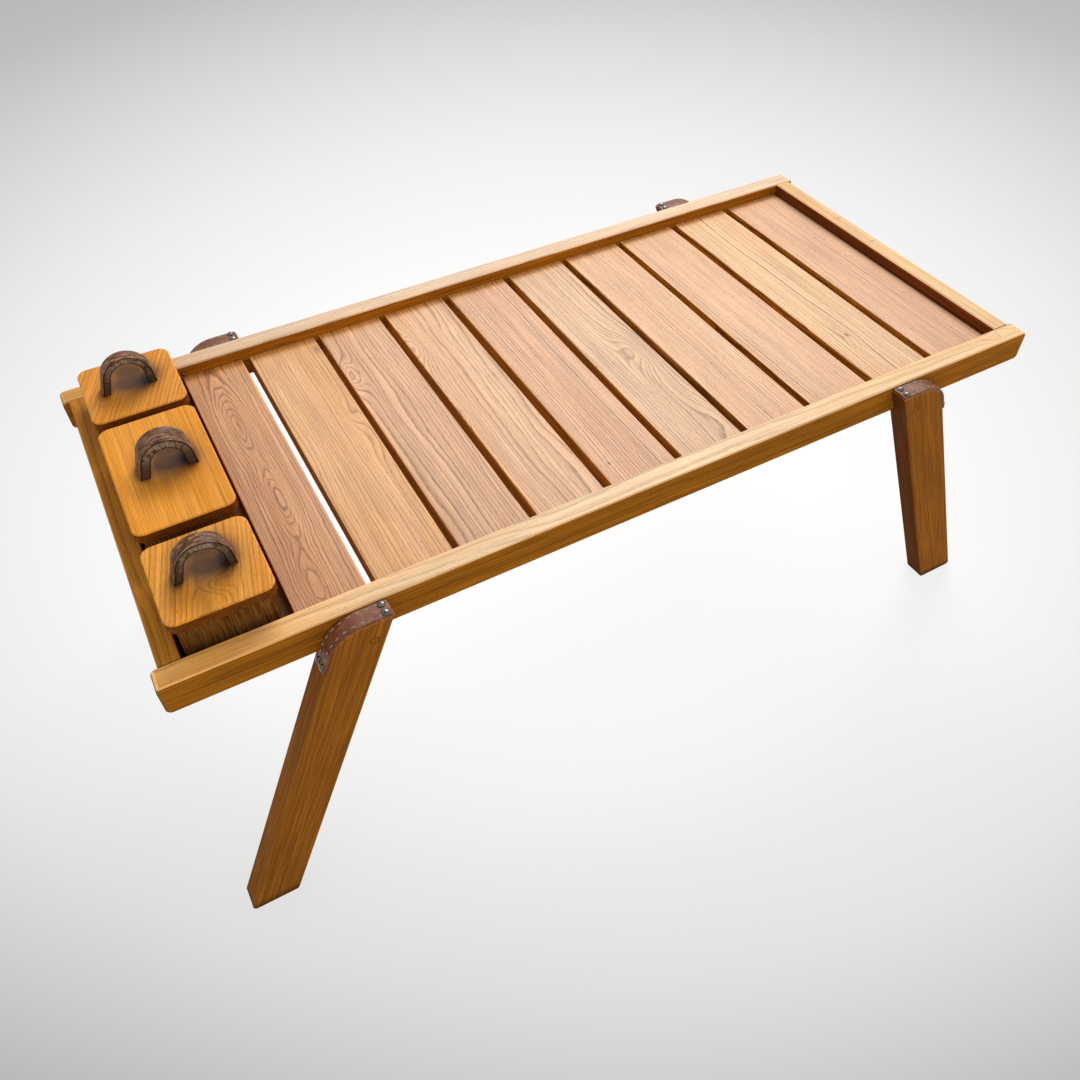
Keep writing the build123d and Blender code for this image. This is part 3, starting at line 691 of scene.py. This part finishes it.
rng = random.Random(12)
nail_seats = []
flat_steps, bend_steps, drop_steps = 8, 24, 6
for corner in corners:
    node = f"leg_strap_{corner}"
    lo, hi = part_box(node)
    outward = -1 if "left" in corner else 1
    inner_x = min(abs(lo.x), abs(hi.x))
    outer_x = max(abs(lo.x), abs(hi.x))
    half = strap_thickness / 2
    middle_y = (lo.y + hi.y) / 2
    width = hi.y - lo.y
    top_z = hi.z - half
    end_x, end_z = outer_x - half * cos(leg_splay), lo.z + half * sin(leg_splay)
    corner_x = end_x - (top_z - end_z) * tan(leg_splay)
    bend_turn = radians(90) - leg_splay
    flat_end_x = corner_x - strap_bend * tan(bend_turn / 2)
    # The path on the table's right: flat along the leg's top, round the bend, and down the leg's edge.
    path = []
    for i in range(flat_steps + 1):
        path.append((inner_x + (flat_end_x - inner_x) * i / flat_steps, top_z, 0.0, 1.0))
    for i in range(1, bend_steps + 1):
        turn = bend_turn * i / bend_steps
        path.append((flat_end_x + strap_bend * sin(turn), top_z - strap_bend * (1 - cos(turn)),
                     sin(turn), cos(turn)))
    bend_x, bend_z = path[-1][:2]
    for i in range(1, drop_steps + 1):
        path.append((bend_x + (end_x - bend_x) * i / drop_steps,
                     bend_z + (end_z - bend_z) * i / drop_steps, cos(leg_splay), sin(leg_splay)))
    path = [(outward * x, z, outward * out_x, out_z) for x, z, out_x, out_z in path]
    stations = strip_stations(path, width, strap_corner)
    section = strip_section(width, strap_thickness, strap_edge_round, strap_crown, groove_inset)
    mesh = strip_mesh(node + "_leather", stations, middle_y, width, section)
    strap = add_piece(node + "_leather", mesh, [strap_leather], "table")
    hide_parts(node)

    shell = bmesh.new()
    for side in (-1, 1):
        stitch_row(shell, stations, middle_y, side * (width / 2 - groove_inset), half - stitch_sink, rng)
    mesh = closed_mesh(node + "_stitches", shell)
    add_piece(node + "_stitches", mesh, [linen_thread], "table")

    for x, z, out_x, out_z, step in ((*path[0], 1), (*path[-1], -1)):
        out = Vector((out_x, 0, out_z))
        run = Vector((out_z, 0, -out_x)) * outward * step
        seat = Vector((x, middle_y, z)) + run * nail_end_distance + out * half
        for side in (-0.5, 0.5):
            nail_seats.append((seat + Vector((0, side * nail_spacing, 0)), out))

# ---- Nails ----
# Sixteen domed nails of blackened steel pin the straps down, two at each end. The domes are
# forged, so none is quite round, and they are rubbed bright in places. A seventeenth, smaller, is
# driven into the inside of the rear rail beside the first slat.
nail_head_radius = 4.3 * MM
nail_head_height = 2.8 * MM
nail_skirt = 0.12  # of a head's height, that goes below its seat
small_nail_seat = Vector((-407, 219.5, 424.5)) * MM
small_nail_radius = 2.6 * MM

nail_steel, tree, place = new_material("blackened_steel_nail")
wear = add_node(tree, "TexNoise", {"Vector": place, "Scale": 1 / (2.5 * MM), "Detail": 3.0})
tone = add_node(tree, "ValToRGB", {"Fac": wear}, stops=[
    (0.35, srgb("#4A4643")), (0.6, srgb("#8E8B88"))])
rough = add_node(tree, "MapRange", {"Value": wear, "To Min": 0.42, "To Max": 0.22})
dent = add_node(tree, "Bump", {"Strength": 0.3, "Distance": 0.4 * MM, "Height": wear})
steel = add_node(tree, "BsdfPrincipled", {
    "Base Color": tone, "Metallic": 1.0, "Roughness": rough, "Normal": dent})
add_node(tree, "OutputMaterial", {"Surface": steel})

shell = bmesh.new()
for seat, out in nail_seats:
    facing = out.to_track_quat("Z", "Y").to_matrix().to_4x4()
    size = Matrix.Diagonal((
        nail_head_radius * rng.uniform(0.94, 1.0), nail_head_radius * rng.uniform(0.94, 1.0),
        nail_head_height * rng.uniform(0.88, 0.98), 1))
    head = bmesh.ops.create_uvsphere(shell, u_segments=24, v_segments=16, radius=1.0)["verts"]
    for vert in head:
        vert.co.z = max(vert.co.z, -nail_skirt)
    bmesh.ops.transform(shell, verts=head, matrix=Matrix.Translation(seat) @ facing @ size)
head = bmesh.ops.create_uvsphere(shell, u_segments=20, v_segments=12, radius=1.0)["verts"]
for vert in head:
    vert.co = small_nail_seat + vert.co * small_nail_radius
mesh = closed_mesh("forged_nail_heads", shell)
nails = add_piece("forged_nail_heads", mesh, [nail_steel], "table")
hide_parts("strap_nails")

# ---- Boxes ----
# Three lift-out boxes of thin rough-sawn boards, glued up and stained dark and dull. The saw has
# left upright streaks on the walls, 1.3 mm wide and 34 mm long, and the stain took less in some
# patches than in others.
sawn_board, tree, place = new_material("stained_rough_sawn_board")
streak_place = add_node(tree, "VectorMath", {
    0: place, 1: (1 / (1.3 * MM), 1 / (1.3 * MM), 1 / (34 * MM))}, operation="MULTIPLY")
streaks = add_node(tree, "TexNoise", {
    "Vector": streak_place, "Scale": 1.0, "Detail": 3.0, "Roughness": 0.5})
bare = add_node(tree, "TexNoise", {"Vector": place, "Scale": 1 / (30 * MM), "Detail": 2.0})
bare = add_node(tree, "MapRange", {
    "Value": bare, "From Min": 0.35, "From Max": 0.65, "To Min": 0.6, "To Max": 1.0})
streaks = add_node(tree, "MapRange", {"Value": streaks, "From Min": 0.36, "From Max": 0.7})
streaks = add_node(tree, "Math", {0: streaks, 1: bare}, operation="MULTIPLY")
colour = add_node(tree, "ValToRGB", {"Fac": streaks}, stops=[
    (0.0, srgb("#5E3612")), (0.4, srgb("#835421")), (1.0, srgb("#A87E46"))])
board = add_node(tree, "BsdfPrincipled", {
    "Base Color": colour, "Roughness": 1.0, "Specular IOR Level": 0.0})
add_node(tree, "OutputMaterial", {"Surface": board})

boxes = ("front", "middle", "rear")
for box_name in boxes:
    for part_name in ("front_wall", "rear_wall", "left_wall", "right_wall", "floor"):
        finish_node(f"box_{box_name}_{part_name}", sawn_board)
    finish_node(f"lid_panel_{box_name}", sawn_board)

# ---- Lids ----
# Three elm lids with rounded corners, golden and smoothly polished, each cut at its own slant
# to the grain. Round the feet of each handle, and under and in front of its loop, the wood is
# darker: grease from the leather and from fingers, and painted shade of the handle.
lid_cuts = {
    "front": dict(
        top="#EA9830", tint="#F2A642", line="#7A3C08", ring=3.2, heart=(0, 34), wander=6, seed=51.0,
        knots=[(-22, 10, 12, 14, 7)], line_share=0.8),
    "middle": dict(
        top="#E9951E", tint="#EF9F36", line="#8A480C", ring=2.8, heart=(-120, 30), wander=5, seed=52.0,
        line_share=0.55),
    "rear": dict(
        top="#E08E22", tint="#EC9C38", line="#743C08", ring=3.8, heart=(90, 36), wander=7, seed=53.0,
        line_share=0.75),
}
handle_shift = {"front": 0, "middle": 5, "rear": 0}  # mm to the right of the lid's middle
grain_turn = {"front": radians(14), "middle": 0, "rear": radians(24)}
for box_name, cut in lid_cuts.items():
    shift = handle_shift[box_name]
    turn = grain_turn[box_name]
    # These marks are grease and also the handle's shadow, painted in as shade.
    # Each is (millimetres to the rear, to the right, and its two sizes, strength, colour).
    grease_and_shade_marks = [
        (-30, shift - 3, 26, 28, 0.4, "#A05E0C"), (28, shift + 2, 19, 24, 1.2, "#5E3A18"),
        (4, shift - 2, 19, 22, 1.25, "#5E3C20"), (0, shift - 28.5, 14, 7, 1.1, "#2E180C"),
        (4, shift + 20, 20, 12, 1.3, "#2A160C")]
    grease_and_painted_shade = [(right * sin(turn) + back * cos(turn), right * cos(turn) - back * sin(turn), *rest)
              for back, right, *rest in grease_and_shade_marks]
    finish_node(f"lid_{box_name}", elm(
        f"polished_elm_lid_{box_name}", f"lid_{box_name}", (sin(turn), cos(turn), 0),
        (cos(turn), -sin(turn), 0), side="#84480C", side_line="#5A2C0C", grease_and_painted_shade=grease_and_painted_shade, sheen=0.2, **cut))

# ---- Handles ----
# Each lid is lifted by a loop of two leathers bent together: an outer strap, scuffed along its
# length, with its cut edges burnished black, over a thick lining whose raw edges have gone grey.
# The loops stand a little out of true, with the left foot further out than the right.
lid_lo, lid_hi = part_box("lid_front")
lid_top = lid_hi.z
loop_centre_lift = 13 * MM  # centre of the arch above the lid
foot_spread = {-1: 5 * MM, 1: 1 * MM}  # outer face of the left and right foot past the arch's side
outer_thickness = 2 * MM
lining_thickness = {"front": 7 * MM, "middle": 9 * MM, "rear": 7 * MM}
lining_band = 1.2 * MM  # how far up from its back a lining's edge is burnished

handle_leather, tree, place = new_material("scuffed_saddle_leather")
colour, bump = leather_colour(tree, place, "#56301E", "#8A6450", "#140906")
# Scuffs have rubbed the finish off in pale tan dashes along the strap, 10 mm by 2 mm or so.
scuff_place = add_node(tree, "VectorMath", {
    0: place, 1: (1 / (10 * MM), 1 / (2 * MM), 1 / (10 * MM))}, operation="MULTIPLY")
scuffs = add_node(tree, "TexNoise", {"Vector": scuff_place, "Scale": 1.0, "Detail": 4.0, "Roughness": 0.6})
scuffs = add_node(tree, "MapRange", {"Value": scuffs, "From Min": 0.5, "From Max": 0.66, "To Max": 0.85})
colour = add_node(tree, "Mix", {"Factor": scuffs, "A": colour, "B": srgb("#C08A58")}, data_type="RGBA")
hide = add_node(tree, "BsdfPrincipled", {
    "Base Color": colour, "Roughness": 0.55, "Specular IOR Level": 0.2, "Normal": bump})
add_node(tree, "OutputMaterial", {"Surface": hide})

# A cut edge is rubbed with wax until it is smooth and nearly black.
burnished_edge, tree, place = new_material("burnished_leather_edge")
wear = add_node(tree, "TexNoise", {"Vector": place, "Scale": 1 / (3 * MM), "Detail": 3.0})
tone = add_node(tree, "ValToRGB", {"Fac": wear}, stops=[(0.4, srgb("#1E0F0A")), (0.7, srgb("#3A2018"))])
hide = add_node(tree, "BsdfPrincipled", {"Base Color": tone, "Roughness": 0.4})
add_node(tree, "OutputMaterial", {"Surface": hide})

lining_leather, tree, place = new_material("raw_edged_lining_leather")
colour, bump = leather_colour(tree, place, "#9A876E", "#C8B89C", "#4A3626")
# Glue and finish have soaked into the raw edge in dark blotches about 5 mm apart, and its lower
# part is darker, towards the lid.
blotch = add_node(tree, "TexNoise", {
    "Vector": place, "Scale": 1 / (5 * MM), "Detail": 3.0, "Roughness": 0.6})
blotch = add_node(tree, "MapRange", {"Value": blotch, "From Min": 0.5, "From Max": 0.6, "To Max": 0.85})
colour = add_node(tree, "Mix", {"Factor": blotch, "A": colour, "B": srgb("#3E2E22")}, data_type="RGBA")
height = add_node(tree, "SeparateXYZ", {0: place}).node.outputs["Z"]
lower_darkening = add_node(tree, "MapRange", {
    "Value": height, "From Min": lid_top + 10 * MM, "From Max": lid_top + 38 * MM,
    "To Min": 0.9, "To Max": 0.0})
colour = add_node(tree, "Mix", {"Factor": lower_darkening, "A": colour, "B": srgb("#4A3020")}, data_type="RGBA")
# Only the edges, which face front and rear, are raw: the inside of the loop is plain brown hide.
facing = add_node(tree, "SeparateXYZ", {0: place.node.outputs["Normal"]}).node.outputs["Y"]
facing = add_node(tree, "Math", {0: facing}, operation="ABSOLUTE")
edge = add_node(tree, "MapRange", {"Value": facing, "From Min": 0.4, "From Max": 0.8})
colour = add_node(tree, "Mix", {"Factor": edge, "A": srgb("#5A3A26"), "B": colour}, data_type="RGBA")
hide = add_node(tree, "BsdfPrincipled", {
    "Base Color": colour, "Roughness": 0.65, "Specular IOR Level": 0.25, "Normal": bump})
add_node(tree, "OutputMaterial", {"Surface": hide})


def loop_path(middle_x, radius):
    """Line down the middle of one layer, from its left end over the arch to its right end.

    Each foot goes down through the lid to its underside.
    """
    sunk_steps, leg_steps, arch_steps = 4, 6, 36
    arch_z = lid_top + loop_centre_lift
    sides = {}
    for side, spread in foot_spread.items():
        foot = radius + spread
        touch = acos(radius / hypot(foot, loop_centre_lift)) - atan2(loop_centre_lift, foot)
        touch_x, touch_z = radius * cos(touch), arch_z + radius * sin(touch)
        leg = [(foot, lid_lo.z + (lid_top - lid_lo.z) * i / sunk_steps, 1.0, 0.0)
               for i in range(sunk_steps)]
        for i in range(leg_steps):
            x = foot + (touch_x - foot) * i / leg_steps
            z = lid_top + (touch_z - lid_top) * i / leg_steps
            lean = touch / 2 if i == 0 else touch
            leg.append((x, z, cos(lean), sin(lean)))
        sides[side] = touch, [(middle_x + side * x, z, side * out_x, out_z) for x, z, out_x, out_z in leg]
    start, left_leg = sides[-1]
    stop, right_leg = sides[1]
    arch = []
    for i in range(arch_steps + 1):
        turn = start + (pi - start - stop) * i / arch_steps
        arch.append((middle_x - radius * cos(turn), arch_z + radius * sin(turn), -cos(turn), sin(turn)))
    return left_leg + arch + right_leg[::-1]


def edge_faces(section, width, edge_round, highest):
    """Which faces of a strip lie on its cut edges, up to `highest` above its middle."""
    inner = width / 2 - edge_round * 0.6
    on_edge = [abs(across) > inner and rise < highest + 1e-6 for across, rise in section]
    return {i for i in range(len(section)) if on_edge[i] and on_edge[(i + 1) % len(section)]}


crown_stitches = (-17, -8, 3, 12)  # degrees from the top of the loop
crown_stitch_radii = (0.45 * MM, 0.35 * MM)
crown_stitch_reach = 0.4  # of the lining's thickness, each way from its middle
for box_name in boxes:
    lo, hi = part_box(f"handle_strap_{box_name}")
    loop_radius = (hi.x - lo.x - foot_spread[-1] - foot_spread[1]) / 2
    middle_x = lo.x + foot_spread[-1] + loop_radius
    middle_y = (lo.y + hi.y) / 2
    lining = lining_thickness[box_name]
    # Each layer is (name, depth inside the loop, thickness, rounding, crown, band, leather, slot).
    layers = (
        ("handle_strap", 0, outer_thickness, 0.7 * MM, 0.4 * MM, 0, handle_leather, "handle_leather"),
        ("handle_lining", outer_thickness, lining, 0.6 * MM, 0, lining_band, lining_leather,
         "lining_leather"))
    for layer_name, depth_in, thickness, edge_round, crown, back_band, leather, slot in layers:
        node = f"{layer_name}_{box_name}"
        lo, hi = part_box(node)
        width = hi.y - lo.y
        path = loop_path(middle_x, loop_radius - depth_in - thickness / 2)
        section = strip_section(width, thickness, edge_round, crown, back_band=back_band)
        highest = -thickness / 2 + back_band if back_band else thickness / 2
        dark_sides = edge_faces(section, width, edge_round, highest)
        mesh = strip_mesh(
            node + "_leather", strip_stations(path, width), middle_y, width, section, dark_sides)
        layer = add_piece(node + "_leather", mesh, [leather, burnished_edge], f"{box_name}_lid")
        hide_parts(node)

    # A few stitches cross the lining's raw edges near the top of the loop.
    shell = bmesh.new()
    lo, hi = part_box(f"handle_lining_{box_name}")
    lining_middle = loop_radius - outer_thickness - lining / 2
    for face_y in (middle_y - (hi.y - lo.y) / 2, middle_y + (hi.y - lo.y) / 2):
        for turn in crown_stitches:
            turn = radians(turn + rng.uniform(-2, 2))
            out = Vector((sin(turn), 0, cos(turn)))
            seat = Vector((middle_x, face_y, lid_top + loop_centre_lift)) + out * lining_middle
            size = Matrix.Diagonal((*crown_stitch_radii, lining * crown_stitch_reach, 1))
            turned = out.to_track_quat("Z", "Y").to_matrix().to_4x4()
            bmesh.ops.create_uvsphere(shell, u_segments=10, v_segments=8, radius=1.0,
                                      matrix=Matrix.Translation(seat) @ turned @ size)
    mesh = closed_mesh(f"handle_stitches_{box_name}", shell)
    add_piece(f"handle_stitches_{box_name}", mesh, [linen_thread], f"{box_name}_lid")

# ---- Last update of the scene ----
bpy.context.view_layer.update()
